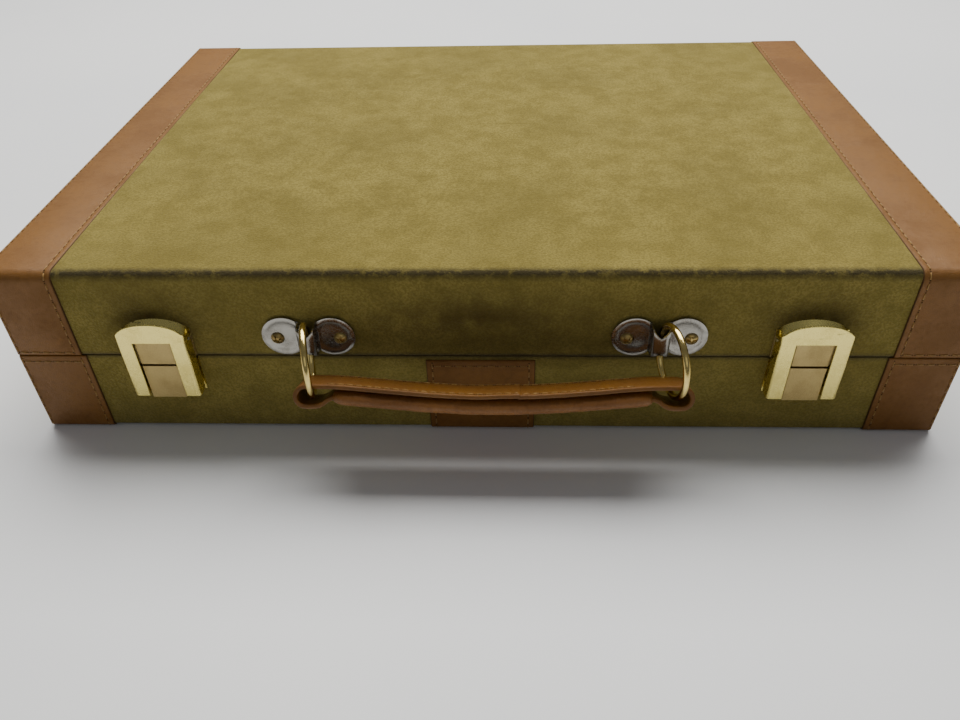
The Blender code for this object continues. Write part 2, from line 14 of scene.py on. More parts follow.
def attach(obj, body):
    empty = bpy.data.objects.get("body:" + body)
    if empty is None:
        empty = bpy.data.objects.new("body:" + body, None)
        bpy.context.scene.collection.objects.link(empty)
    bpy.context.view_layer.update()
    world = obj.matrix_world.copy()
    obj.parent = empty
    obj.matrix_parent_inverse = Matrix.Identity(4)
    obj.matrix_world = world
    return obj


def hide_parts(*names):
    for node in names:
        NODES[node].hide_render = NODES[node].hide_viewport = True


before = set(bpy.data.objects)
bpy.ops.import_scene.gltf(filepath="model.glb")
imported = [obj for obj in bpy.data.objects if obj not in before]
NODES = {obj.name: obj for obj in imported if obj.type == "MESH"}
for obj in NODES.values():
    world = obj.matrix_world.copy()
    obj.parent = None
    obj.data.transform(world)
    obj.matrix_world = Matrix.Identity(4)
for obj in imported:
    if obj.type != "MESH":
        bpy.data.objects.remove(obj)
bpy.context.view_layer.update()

MM = 0.001

FRONT_Y = -164.0
HEIGHT = 94.8
LID_RIM = 47.6
BASE_RIM = 47.2
SUEDE_X = 228.5
SUEDE_Y = 162.75
SUEDE_SHIFT = -0.25
SUEDE_STEP = 0.6
LID_EDGE_R = {"suede": 3.5, "leather": 5.0}
BASE_EDGE_R = {"suede": 2.0, "leather": 2.6}
LATCH_X = {"left": -154.0, "right": 154.0}
BRACKET_X = {"left": -80.7, "right": 84.3}
BRACKET_Z = 60.0
SCREW_OFFSET = 15
SCREW_DROP = 1.2
SCREW_OUT = 0.5
RING_R = 16.1
RING_WIRE_R = 1.6
RING_Z = 59.5
RING_LEAN = math.radians(12.0)
RING_BACK_OUT = 2.35
HANDLE_TILT = math.radians(24.0)
LOOP_ARC_X = (-77.5, 91.1)
HANDLE_X = sum(LOOP_ARC_X) / 2
STRAP_TOP_N = -5.97
STRAP_LOOP_N = 3.53
STRAP_T = 2.0
SEAM_X = 19.0
GRIP_ENDS_X = (-65.6, 79.2)
GRIP_VOXEL = 1.3
GRIP_SWELL_CAP = 0.6
GRIP_FOLD_DEPTH = 0.22
BAND_PITCH = 5.2
STRAP_PITCH = 4.2
LID_CROWN = 1.1
BASE_CROWN = 0.25
TABLE_Z = -0.0002
CAMERA_PLACE = (0.0160, -0.4617, 0.2836)
CAMERA_DOWN = math.radians(38.59)
CAMERA_YAW = math.radians(-3.013)
CAMERA_ROLL = math.radians(-1.683)
CAMERA_LENS = 29.7


# ---------------------------------------------------------------- materials


class Shade:
    """A Principled material and short ways to build its nodes."""

    def __init__(self, name, **fixed):
        self.made = bpy.data.materials.new(name)
        self.made.use_nodes = True
        self.tree = self.made.node_tree
        self.shader = self.tree.nodes["Principled BSDF"]
        for key, value in fixed.items():
            self.shader.inputs[key.replace("_", " ")].default_value = value
        self.coords = self.tree.nodes.new("ShaderNodeTexCoord").outputs["Object"]

    def put(self, socket, value):
        if isinstance(value, bpy.types.NodeSocket):
            self.tree.links.new(value, socket)
        elif value is not None:
            is_colour = hasattr(socket.default_value, "__len__") and len(socket.default_value) == 4
            if is_colour and len(value) == 3:
                value = (*value, 1.0)
            socket.default_value = value

    def stretch(self, scale):
        node = self.tree.nodes.new("ShaderNodeMapping")
        node.inputs["Scale"].default_value = scale
        self.put(node.inputs["Vector"], self.coords)
        return node.outputs["Vector"]

    def noise(self, scale, detail=3.0, roughness=0.5, at=None):
        node = self.tree.nodes.new("ShaderNodeTexNoise")
        node.inputs["Scale"].default_value = scale
        node.inputs["Detail"].default_value = detail
        node.inputs["Roughness"].default_value = roughness
        self.put(node.inputs["Vector"], at or self.coords)
        return node.outputs["Fac"]

    def cells(self, scale, at=None):
        node = self.tree.nodes.new("ShaderNodeTexVoronoi")
        node.feature = "DISTANCE_TO_EDGE"
        node.inputs["Scale"].default_value = scale
        self.put(node.inputs["Vector"], at or self.coords)
        return node.outputs["Distance"]

    def attribute(self, name):
        node = self.tree.nodes.new("ShaderNodeAttribute")
        node.attribute_name = name
        return node.outputs["Fac"]

    def axis(self, index):
        node = self.tree.nodes.new("ShaderNodeSeparateXYZ")
        self.put(node.inputs[0], self.coords)
        return node.outputs[index]

    def math(self, operation, one, two=None, clamp=False):
        node = self.tree.nodes.new("ShaderNodeMath")
        node.operation = operation
        node.use_clamp = clamp
        self.put(node.inputs[0], one)
        self.put(node.inputs[1], two)
        return node.outputs[0]

    def near(self, value, centre, width):
        """1 where value is at centre, falling to 0 a width away."""
        away = self.math("ABSOLUTE", self.math("SUBTRACT", value, centre))
        return self.math("SUBTRACT", 1.0, self.math("DIVIDE", away, width), clamp=True)

    def span(self, value, low, high, to=(0.0, 1.0)):
        node = self.tree.nodes.new("ShaderNodeMapRange")
        node.interpolation_type = "SMOOTHSTEP"
        self.put(node.inputs["Value"], value)
        for key, number in zip(("From Min", "From Max", "To Min", "To Max"), (low, high, *to)):
            node.inputs[key].default_value = number
        return node.outputs["Result"]

    def mix(self, factor, one, two):
        node = self.tree.nodes.new("ShaderNodeMix")
        node.data_type = "RGBA"
        self.put(node.inputs["Factor"], factor)
        self.put(node.inputs[6], one)
        self.put(node.inputs[7], two)
        return node.outputs[2]

    def bump(self, height, distance, strength=1.0, under=None):
        node = self.tree.nodes.new("ShaderNodeBump")
        node.inputs["Distance"].default_value = distance
        node.inputs["Strength"].default_value = strength
        self.put(node.inputs["Height"], height)
        self.put(node.inputs["Normal"], under)
        return node.outputs["Normal"]

    def finish(self, colour=None, roughness=None, normal=None):
        self.put(self.shader.inputs["Base Color"], colour)
        self.put(self.shader.inputs["Roughness"], roughness)
        self.put(self.shader.inputs["Normal"], normal)
        return self.made


def suede(name, light, dark, soiled):
    s = Shade(name, Sheen_Weight=0.12, Sheen_Roughness=0.45, Specular_IOR_Level=0.08)
    broad = s.span(s.noise(14.0, 4.0, 0.6), 0.36, 0.66)
    cloud = s.span(s.noise(70.0, 5.0, 0.62), 0.34, 0.68)
    nap = s.noise(900.0, 3.0, 0.6)
    tone = s.mix(broad, light, [v * 0.80 for v in light])
    tone = s.mix(s.math("MULTIPLY", cloud, 0.50), tone, dark)
    tone = s.mix(s.span(nap, 0.40, 0.60, (0.0, 0.55)), tone, dark)
    y = s.axis(1)
    z = s.axis(2)
    x = s.axis(0)
    front = s.span(y, -0.150, -0.1615, (0.0, 1.0))
    rough_edge = s.noise(220.0, 4.0, 0.7)
    edge = s.math("MULTIPLY", s.near(y, -0.1612, 0.0040), s.near(z, 0.0932, 0.0040))
    edge = s.math("MULTIPLY", edge, s.span(rough_edge, 0.30, 0.55, (0.55, 1.35)), clamp=True)
    # Painted shade: a band within a few millimetres of the parting line between lid and base, for the shadow
    # in the groove there
    rim = s.near(z, 0.0474, 0.0026)
    grime = s.math("MULTIPLY", s.near(x, 0.0, 0.075), s.near(z, 0.070, 0.020))
    for latch in (-0.154, 0.154):
        spot = s.math("MULTIPLY", s.near(x, latch, 0.034), s.near(z, 0.066, 0.026))
        grime = s.math("MAXIMUM", grime, spot)
    patches = s.span(s.noise(90.0, 4.0), 0.3, 0.6, (0.3, 1.0))
    grime = s.math("MULTIPLY", s.math("MULTIPLY", grime, front), patches)
    tone = s.mix(s.math("MULTIPLY", grime, 0.75), tone, soiled)
    tone = s.mix(s.math("MULTIPLY", edge, 0.85), tone, (0.032, 0.025, 0.015))
    # Darkens the suede along the parting line as painted shadow
    tone = s.mix(s.math("MULTIPLY", rim, 0.7), tone, (0.06, 0.05, 0.03))
    height = s.math("ADD", s.math("MULTIPLY", s.noise(2200.0, 2.0), 0.6), s.math("MULTIPLY", nap, 0.8))
    normal = s.bump(height, 0.0008, 0.85)
    normal = s.bump(s.noise(55.0, 4.0), 0.0016, 0.5, normal)
    return s.finish(tone, s.span(cloud, 0.0, 1.0, (0.86, 0.98)), normal)


def leather(name, light, dark, rough, coat, grain=1.0, crease=0.0, burnish=0.75):
    s = Shade(name, Coat_Weight=coat, Coat_Roughness=0.3, Specular_IOR_Level=0.3)
    broad = s.span(s.noise(26.0, 5.0, 0.6), 0.34, 0.68)
    fine = s.noise(420.0, 4.0, 0.6)
    pebble = s.cells(1150.0)
    tone = s.mix(broad, light, [0.55 * a + 0.45 * b for a, b in zip(light, dark)])
    tone = s.mix(s.span(fine, 0.45, 0.75, (0.0, 0.35)), tone, dark)
    scuff = s.span(s.noise(60.0, 8.0, 0.75, s.stretch((1.0, 0.25, 1.0))), 0.60, 0.74)
    tone = s.mix(s.math("MULTIPLY", scuff, 0.35), tone, [v * 1.35 for v in light])
    tone = s.mix(s.math("MULTIPLY", s.attribute("edge"), burnish), tone, [v * 0.35 for v in dark])
    hollow = s.span(pebble, 0.0, 0.12)
    height = s.math("ADD", s.math("MULTIPLY", hollow, 0.5), s.math("MULTIPLY", fine, 0.7))
    normal = s.bump(height, 0.00022 * grain, 0.7)
    wide = s.bump(s.noise(38.0, 3.0), 0.0013, 0.45, normal)
    if crease:
        folds = s.noise(150.0, 4.0, 0.6, s.stretch((2.4, 0.5, 0.5)))
        wide = s.bump(folds, 0.0012 * crease, 0.8, wide)
    roughness = s.span(s.math("ADD", fine, broad), 0.6, 1.5, (rough - 0.08, rough + 0.12))
    return s.finish(tone, roughness, wide)


def metal(name, colour, dark, rough, wear=0.25, brushed=None, wear_top=None):
    s = Shade(name, Metallic=1.0)
    smear = s.noise(90.0, 5.0, 0.65)
    fine = s.noise(1400.0, 3.0, 0.6, s.stretch(brushed) if brushed else None)
    scratch = s.span(s.noise(260.0, 8.0, 0.85, s.stretch((0.35, 1.0, 2.2))), 0.585, 0.66)
    factor = s.math("MULTIPLY", s.span(smear, 0.42, 0.72), wear)
    tone = s.mix(factor, colour, dark)
    if brushed:
        tone = s.mix(s.span(fine, 0.35, 0.65, (0.0, 0.55)), tone, dark)
    if wear_top:
        height = s.span(s.axis(2), *wear_top)
        tone = s.mix(s.math("MULTIPLY", scratch, height), tone, (0.035, 0.030, 0.022))
    tone = s.mix(s.math("MULTIPLY", s.attribute("edge"), 0.6), tone, [v * 0.4 for v in dark])
    normal = s.bump(fine, 0.00012 if brushed else 0.00005, 0.8 if brushed else 0.35)
    roughness = s.span(s.math("ADD", smear, fine), 0.7, 1.3, (rough * 0.75, rough * 1.35))
    return s.finish(tone, roughness, normal)


def wood(name, light, dark, grain):
    s = Shade(name, Specular_IOR_Level=0.3)
    lines = s.noise(70.0, 6.0, 0.65, s.stretch(grain))
    pores = s.noise(900.0, 3.0, 0.6, s.stretch(grain))
    tone = s.mix(s.span(lines, 0.35, 0.65), light, dark)
    tone = s.mix(s.span(pores, 0.52, 0.7, (0.0, 0.5)), tone, [v * 0.6 for v in dark])
    return s.finish(tone, s.span(lines, 0.3, 0.7, (0.5, 0.68)), s.bump(pores, 0.0003, 0.6))


def cloth(name, light, dark):
    s = Shade(name, Sheen_Weight=0.2, Specular_IOR_Level=0.15)
    wave = []
    for index in range(3):
        node = s.tree.nodes.new("ShaderNodeTexWave")
        node.bands_direction = "XYZ"[index]
        node.inputs["Scale"].default_value = 260.0
        node.inputs["Distortion"].default_value = 0.6
        s.put(node.inputs["Vector"], s.coords)
        wave.append(node.outputs["Fac"])
    weave = s.math("MULTIPLY", s.math("ADD", wave[0], wave[1]), s.math("ADD", wave[2], 0.5))
    tone = s.mix(s.span(weave, 0.2, 1.6), dark, light)
    tone = s.mix(s.span(s.noise(40.0, 4.0), 0.4, 0.7, (0.0, 0.4)), tone, dark)
    return s.finish(tone, 0.92, s.bump(weave, 0.0003, 0.7))


def thread(name, light, dark):
    s = Shade(name, Sheen_Weight=0.2, Specular_IOR_Level=0.3)
    twist = s.noise(1600.0, 2.0, 0.5, s.stretch((1.0, 1.0, 1.4)))
    tone = s.mix(s.span(twist, 0.38, 0.62), light, dark)
    return s.finish(tone, 0.6, s.bump(twist, 0.0002, 0.8))


# Dark brown for the needle holes: painted shade standing in for the hollow of each hole
def hole_shade(name):
    s = Shade(name, Specular_IOR_Level=0.1)
    return s.finish(s.mix(s.noise(800.0), (0.040, 0.020, 0.008), (0.065, 0.032, 0.011)), 0.9)


def floor_paint():
    s = Shade("table", Specular_IOR_Level=0.35)
    tone = s.mix(s.span(s.noise(2.6, 3.0), 0.35, 0.7), (0.93, 0.93, 0.935), (0.88, 0.885, 0.90))
    scratch = s.span(s.noise(30.0, 9.0, 0.85, s.stretch((1.0, 6.0, 1.0))), 0.64, 0.70, (0.0, 0.22))
    tone = s.mix(scratch, tone, (0.72, 0.72, 0.74))
    return s.finish(tone, 0.42)


OLIVE = suede("suede_olive", (0.330, 0.262, 0.066), (0.160, 0.122, 0.026), (0.060, 0.038, 0.010))
BAND = leather("leather_band", (0.240, 0.103, 0.016), (0.118, 0.045, 0.006), 0.52, 0.03)
STRAP = leather("leather_handle", (0.240, 0.100, 0.016), (0.115, 0.042, 0.006), 0.40, 0.14, 0.8, 0.35, 0.15)
GRIP = leather("leather_grip", (0.270, 0.108, 0.019), (0.120, 0.040, 0.006), 0.38, 0.16, 0.8, 1.0)
BRASS = metal("brass_plate", (0.90, 0.76, 0.25), (0.60, 0.46, 0.11), 0.26, 0.30, wear_top=(0.060, 0.068))
BRUSHED = metal("brass_brushed", (0.58, 0.44, 0.19), (0.33, 0.24, 0.09), 0.40, 0.3, (26.0, 26.0, 1.2))
GOLD = metal("brass_wire", (0.84, 0.66, 0.24), (0.40, 0.27, 0.08), 0.16, 0.5)
SCREW = metal("brass_screw", (0.50, 0.37, 0.14), (0.20, 0.13, 0.05), 0.30, 0.6)
NICKEL = metal("nickel_plate", (0.36, 0.345, 0.31), (0.17, 0.15, 0.12), 0.22, 0.5)
STEEL = metal("steel_wire", (0.58, 0.58, 0.60), (0.36, 0.35, 0.35), 0.28, 0.3)
PLY = wood("plywood", (0.60, 0.45, 0.27), (0.44, 0.30, 0.16), (1.0, 9.0, 9.0))
OAK_X = wood("tray_wood_x", (0.46, 0.27, 0.13), (0.28, 0.15, 0.06), (0.8, 9.0, 9.0))
OAK_Y = wood("tray_wood_y", (0.46, 0.27, 0.13), (0.28, 0.15, 0.06), (9.0, 0.8, 9.0))
LINING = cloth("lining_cloth", (0.33, 0.24, 0.14), (0.20, 0.14, 0.08))
THREAD = thread("stitch_thread", (0.40, 0.230, 0.060), (0.22, 0.110, 0.026))
HOLE_SHADE = hole_shade("needle_hole_shade")


# ---------------------------------------------------------------- mesh tools


class Mesh:
    """Points, faces, the material index of each face and an edge value for each point."""

    def __init__(self):
        self.points = []
        self.faces = []
        self.slots = []
        self.edges = []

    def add(self, points, faces, slot=0, edges=None):
        start = len(self.points)
        self.points.extend(points)
        self.faces.extend([[start + index for index in face] for face in faces])
        self.slots.extend([slot] * len(faces))
        self.edges.extend(edges if edges else [0.0] * len(points))


def loft(mesh, loops, closed=False, slot=0, edges=None):
    count = len(loops[0])
    faces = []
    for level in range(len(loops) if closed else len(loops) - 1):
        low = level * count
        high = (level + 1) % len(loops) * count
        for index in range(count):
            after = (index + 1) % count
            faces.append([low + index, low + after, high + after, high + index])
    if not closed:
        faces.append(list(range(count)))
        faces.append([(len(loops) - 1) * count + index for index in range(count)])
    values = [v for _ in loops for v in edges] if edges else None
    mesh.add([point for loop in loops for point in loop], faces, slot, values)


def sheet(mesh, grid, present=None):
    """A plate of cells, grid[i][j] holding the points of its two sides."""
    rows = len(grid[0])

    def at(i, j, side):
        return (i * rows + j) * 2 + side

    def there(i, j):
        inside = 0 <= i < len(grid) - 1 and 0 <= j < rows - 1
        return inside and (present is None or present(i, j))

    faces = []
    for i in range(len(grid) - 1):
        for j in range(rows - 1):
            if not there(i, j):
                continue
            for side in (0, 1):
                faces.append([at(i, j, side), at(i + 1, j, side), at(i + 1, j + 1, side), at(i, j + 1, side)])
            borders = (
                ((i, j), (i + 1, j), (i, j - 1)),
                ((i, j + 1), (i + 1, j + 1), (i, j + 1)),
                ((i, j), (i, j + 1), (i - 1, j)),
                ((i + 1, j), (i + 1, j + 1), (i + 1, j)),
            )
            for one, two, beyond in borders:
                if not there(*beyond):
                    faces.append([at(*one, 0), at(*two, 0), at(*two, 1), at(*one, 1)])
    mesh.add([p for line in grid for pair in line for p in pair], faces)


def place(name, mesh, materials, body, replaces=(), angle=35.0, bevel=0.0):
    """Makes a mesh into an object that rides on a body and stands for the nodes in replaces."""
    data = bpy.data.meshes.new(name)
    data.from_pydata([[value * MM for value in point] for point in mesh.points], [], mesh.faces)
    for made in materials:
        data.materials.append(made)
    for face, index in zip(data.polygons, mesh.slots):
        face.material_index = index
    values = data.attributes.new("edge", "FLOAT", "POINT")
    values.data.foreach_set("value", mesh.edges)
    work = bmesh.new()
    work.from_mesh(data)
    bmesh.ops.remove_doubles(work, verts=work.verts, dist=2e-6)
    bmesh.ops.delete(work, geom=[v for v in work.verts if not v.link_faces], context="VERTS")
    bmesh.ops.recalc_face_normals(work, faces=work.faces)
    work.to_mesh(data)
    work.free()
    made = bpy.data.objects.new(name, data)
    bpy.context.scene.collection.objects.link(made)
    data.shade_smooth()
    data.set_sharp_from_angle(angle=math.radians(angle))
    if bevel:
        add_bevel(made, bevel)
    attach(made, body)
    if replaces:
        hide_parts(*replaces)
    return made


def add_bevel(obj, width_mm):
    step = obj.modifiers.new("Bevel", "BEVEL")
    step.width = width_mm * MM
    step.segments = 2
    step.limit_method = "ANGLE"
    step.angle_limit = math.radians(40)
    step.harden_normals = False


def both_sides(path, thickness, closed=False):
    """Each point of a flat path moved half a thickness to either side of it."""
    pairs = []
    count = len(path)
    for index, point in enumerate(path):
        before = path[index - 1] if index or closed else point
        after = path[(index + 1) % count] if index < count - 1 or closed else point
        normals = []
        for one, two in ((before, point), (point, after)):
            along = (two[0] - one[0], two[1] - one[1])
            length = math.hypot(*along)
            if length > 0:
                normals.append((-along[1] / length, along[0] / length))
        mean = (sum(n[0] for n in normals), sum(n[1] for n in normals))
        scale = math.hypot(*mean)
        mean = (mean[0] / scale, mean[1] / scale)
        reach = thickness / 2 / max(0.5, mean[0] * normals[0][0] + mean[1] * normals[0][1])
        low = (point[0] - mean[0] * reach, point[1] - mean[1] * reach)
        pairs.append((low, (point[0] + mean[0] * reach, point[1] + mean[1] * reach)))
    return pairs


def front(out):
    """World y of a point that stands out from the leather's front face."""
    return FRONT_Y - out


def spaced(start, end, count):
    return [start + (end - start) * index / (count - 1) for index in range(count)]


# The thread's stations, each with its place along half a stitch, its height and its thickness
THREAD_STATIONS = (
    (-1.0, -0.30, 0.5),
    (-0.8, 0.06, 0.9),
    (0.0, 0.16, 1.0),
    (0.8, 0.06, 0.9),
    (1.0, -0.30, 0.5),
)
# The height and radius of the rings of a needle hole's dark disc, which paints the shade inside the hole
HOLE_RINGS = ((-0.3, 0.40), (0.035, 0.40), (0.045, 0.22))


def stitch_row(mesh, track, pitch, seed, length=0.74, radius=0.34):
    """Threads along a track of (point, up) samples, each a short raised bar between two dark discs that paint
    the shade inside the needle holes.
    """
    draws = random.Random(seed)
    total = [0.0]
    for index in range(1, len(track)):
        total.append(total[-1] + (track[index][0] - track[index - 1][0]).length)
    count = max(1, round(total[-1] / pitch))
    pitch = total[-1] / count

    def at(distance):
        distance = min(max(distance, 0.0), total[-1])
        index = 1
        while index < len(total) - 1 and total[index] < distance:
            index += 1
        part = (distance - total[index - 1]) / max(1e-9, total[index] - total[index - 1])
        point = track[index - 1][0].lerp(track[index][0], part)
        up = track[index - 1][1].lerp(track[index][1], part).normalized()
        along = (track[index][0] - track[index - 1][0]).normalized()
        return point, up, along

    for number in range(count):
        middle = (number + 0.5) * pitch
        half = pitch * length / 2
        sway = draws.uniform(-0.10, 0.10)
        loops = []
        for part, rise, size in THREAD_STATIONS:
            point, up, along = at(middle + part * half)
            side = along.cross(up).normalized()
            centre = point + up * rise + side * (sway * part)
            loop = []
            for corner in range(6):
                turn = math.tau * corner / 6
                loop.append(tuple(centre + (side * math.cos(turn) + up * math.sin(turn)) * radius * size))
            loops.append(loop)
        loft(mesh, loops)
        # A dark disc at each end of a stitch, painted shade where the thread goes into its hole
        for part in (-1.06, 1.06):
            point, up, along = at(middle + part * half)
            side = along.cross(up).normalized()
            loops = []
            for rise, size in HOLE_RINGS:
                centre = point + up * rise
                loop = []
                for corner in range(6):
                    turn = math.tau * corner / 6
                    loop.append(tuple(centre + (side * math.cos(turn) + along * math.sin(turn)) * size))
                loops.append(loop)
            loft(mesh, loops, slot=1)


# ---------------------------------------------------------------- suede covers


def ring_loop(half_x, half_y, radius, z):
    """A level rectangle with round corners and points along its sides."""
    loop = []
    corners = ((1, 1, 0.0), (-1, 1, 90.0), (-1, -1, 180.0), (1, -1, 270.0))
    for index, (sx, sy, start) in enumerate(corners):
        arc = []
        for step in range(5):
            turn = math.radians(start + 90.0 * step / 4)
            x = sx * (half_x - radius) + radius * math.cos(turn)
            y = sy * (half_y - radius) + radius * math.sin(turn)
            arc.append((x, y))
        loop += arc
        nx, ny, begin = corners[(index + 1) % 4]
        turn = math.radians(begin)
        after_x = nx * (half_x - radius) + radius * math.cos(turn)
        after_y = ny * (half_y - radius) + radius * math.sin(turn)
        count = 30 if index % 2 == 0 else 22
        for step in range(1, count):
            part = step / count
            x, y = arc[-1]
            loop.append((x + (after_x - x) * part, y + (after_y - y) * part))
    return [(x, y, z) for x, y in loop]


def moved(loops):
    """The loops brought forward, so that the suede is nearly flush with the leather in front only."""
    return [[(x, y + SUEDE_SHIFT, z) for x, y, z in loop] for loop in loops]


def crowned(loop, amount, up):
    """A level loop raised into a low dome with a slight ripple."""
    raised = []
    for x, y, z in loop:
        dome = max(0.0, 1 - (x / 224.0) ** 2) * max(0.0, 1 - (y / 158.0) ** 2)
        ripple = 0.16 * noise.noise(Vector((x / 38.0, y / 38.0, 3.0 * up)))
        raised.append((x, y, z + up * (amount * dome**0.7 + ripple * min(1.0, dome * 6))))
    return raised


def make_cover(side, rim, face, up, crown):
    """Suede from a folded-in hem, round the rim, up the wall and over the crowned flat side."""
    mesh = Mesh()
    radius = (LID_EDGE_R if up > 0 else BASE_EDGE_R)["suede"]
    loops = []
    hem = ((1.0, 3.0), (0.95, 0.6), (0.75, 0.2), (0.4, 0.03), (0.1, 0.25), (0.0, 0.8), (0.0, 2.0))
    for inset, off in hem:
        loops.append(ring_loop(SUEDE_X - inset, SUEDE_Y - inset, 4.0 - inset, rim + up * off))
    for part in (0.25, 0.5, 0.75):
        z = rim + (face - rim) * part
        loops.append(ring_loop(SUEDE_X, SUEDE_Y, 4.0, z))
    for step in range(7):
        turn = math.pi / 2 * step / 6
        inset = radius * (1 - math.cos(turn))
        z = face - up * radius * (1 - math.sin(turn))
        loops.append(ring_loop(SUEDE_X - inset, SUEDE_Y - inset, 4.0 - inset, z))
    for inset in (5.0, 8.0, 13.0, 20.0, 30.0, 42.0, 56.0, 72.0, 90.0, 110.0, 130.0, 148.0, 158.0):
        loops.append(crowned(ring_loop(SUEDE_X - inset, SUEDE_Y - inset, 0.5, face), crown, up))
    back = []
    for inset, z in ((3.0, face - up * 1.0), (1.0, face - up * 3.0)):
        back.append(ring_loop(SUEDE_X - inset, SUEDE_Y - inset, 3.0, z))
    loft(mesh, moved(back + loops))
    return place(f"{side}_suede", mesh, [OLIVE], side, (f"{side}_cover",), angle=60.0)


# ---------------------------------------------------------------- leather bands


def band_track(rim, up, start_z=None, steps=8):
    """(y, z, normal y, normal z) from the front rim, round the flat side, to the back rim."""
    face = HEIGHT if up > 0 else 0.0
    begin = rim if start_z is None else start_z
    radius = (LID_EDGE_R if up > 0 else BASE_EDGE_R)["leather"]
    arc_z = face - up * radius
    line = [(FRONT_Y, z, -1.0, 0.0) for z in (begin, begin + up * 0.3, begin + up * 0.9)]
    line += [(FRONT_Y, z, -1.0, 0.0) for z in spaced(begin + up * 6.0, arc_z - up * 2.0, 5)]
    for step in range(steps + 1):
        turn = math.pi / 2 * step / steps
        y = FRONT_Y + radius * (1 - math.cos(turn))
        z = arc_z + up * radius * math.sin(turn)
        line.append((y, z, -math.cos(turn), up * math.sin(turn)))
    flat = [(y, face, 0.0, float(up)) for y in spaced(FRONT_Y + radius + 6.0, 0.0, 12)]
    line += flat
    return line + [(-y, z, -ny, nz) for y, z, ny, nz in line[-2::-1]]


def band_profile(width, grooves):
    """(distance across, height) of a band's face: rolled edges, a shallow groove under each stitch row."""
    rolled = [(0.0, -0.95), (0.0, -0.50), (0.18, -0.18), (0.55, -0.03), (1.1, 0.0)]
    profile = list(rolled)
    for groove in grooves:
        for off, height in ((-0.75, 0.0), (-0.35, -0.13), (0.0, -0.20), (0.35, -0.13), (0.75, 0.0)):
            profile.append((groove + off, height))
    return profile + [(width - across, height) for across, height in rolled[::-1]]


def make_band(name, body, x_inner, x_outer, rim, up, node, rows, rim_row, seed, start_z=None):
    """One leather band. rows are the stitch rows' distances from its first edge."""
    width = abs(x_outer - x_inner)
    way = 1 if x_outer > x_inner else -1
    track = band_track(rim, up, start_z)
    profile = band_profile(width, rows)
    mesh = Mesh()
    loops = []
    for index, (y, z, ny, nz) in enumerate(track):
        end = min(index, len(track) - 1 - index)
        drop = (0.55, 0.15, 0.0)[min(end, 2)]
        swell = 0.10 * noise.noise(Vector((y / 30.0, z / 30.0, seed)))
        loop = []
        for across, height in profile:
            middle = min(1.0, min(across, width - across) / 4.0)
            rise = max(-1.0, height - drop * (1 if height > -0.9 else 0)) + swell * middle
            loop.append((x_inner + way * across, y + ny * rise, z + nz * rise))
        for across in (width - 0.3, 0.3):
            loop.append((x_inner + way * across, y - ny * 1.15, z - nz * 1.15))
        loops.append(loop)
    edges = [float(height < -0.1 and min(across, width - across) < 0.5) for across, height in profile]
    loft(mesh, loops, edges=edges + [1.0, 1.0])
    place(name, mesh, [BAND], body, (node,), angle=50.0)
    seams = Mesh()
    for number, across in enumerate(rows):
        row = []
        for y, z, ny, nz in track[2:-2]:
            point = Vector((x_inner + way * across, y - ny * 0.15, z - nz * 0.15))
            row.append((point, Vector((0.0, ny, nz))))
        stitch_row(seams, row, BAND_PITCH, seed * 10 + number)
    for back in (1, -1):
        row = []
        z = (rim if start_z is None else start_z) + up * rim_row
        for across in spaced(rows[0], rows[-1], 8):
            point = Vector((x_inner + way * across, back * (FRONT_Y + 0.02), z))
            row.append((point, Vector((0.0, -back, 0.0))))
        stitch_row(seams, row, BAND_PITCH, seed * 10 + 5 + back)
    place(name + "_stitches", seams, [THREAD, HOLE_SHADE], body, angle=60.0)


# ---------------------------------------------------------------- latches


def arch(x, half, base, rise, power=2.0):
    """Height of an elliptical top at x from its middle; a larger power gives fuller shoulders."""
    return base + rise * max(0.0, 1 - abs(x / half) ** power) ** (1 / power)


def make_hasp(label, centre):
    """The U-shaped brass plate with its side flanges."""
    half = [(-15.9, 1.0), (-15.9, 1.9), (-15.9, 4.1), (-15.9, 6.3), (-15.75, 6.95), (-15.35, 7.3)]
    half += [(x, 7.4) for x in (-14.9, -14.6, -14.2, -13.7, -13.2, -12.0, -10.5)]
    half += [(x, 7.4) for x in (-9.0, -7.5, -6.0, -4.5, -3.0, -1.5)]
    path = half + [(0.0, 7.4)] + [(-x, out) for x, out in half[::-1]]
    grid = []
    for index, pair in enumerate(both_sides(path, 1.2)):
        flange = min(index, len(path) - 1 - index)
        if flange < 4:
            heights = (28.5, 36.0, 59.4, 61.6, (62.4, 62.8, 63.4, 64.6)[flange])
        else:
            top = arch(path[index][0], 16.3, 63.0, 8.5, 2.15)
            heights = (28.5, 36.0, 50.0, 60.8, top)
        line = []
        for level, z in enumerate(heights):
            roll = 0.35 if level == len(heights) - 1 and flange >= 4 else 0.0
            (x_in, out_in), (x_out, out_out) = pair
            line.append([(centre + x_in, front(out_in), z), (centre + x_out, front(out_out - roll), z)])
        grid.append(line)
    last = len(path) - 2
    window = half.index((-9.0, 7.4))

    def present(i, j):
        in_window = window <= i <= last - window and j < 3
        in_eye = i in (1, last - 1) and j == 2
        return not in_window and not in_eye

    mesh = Mesh()
    sheet(mesh, grid, present)
    place(f"hasp_plate_{label}", mesh, [BRASS], f"hasp_{label}", (f"hasp_{label}",), bevel=0.32)


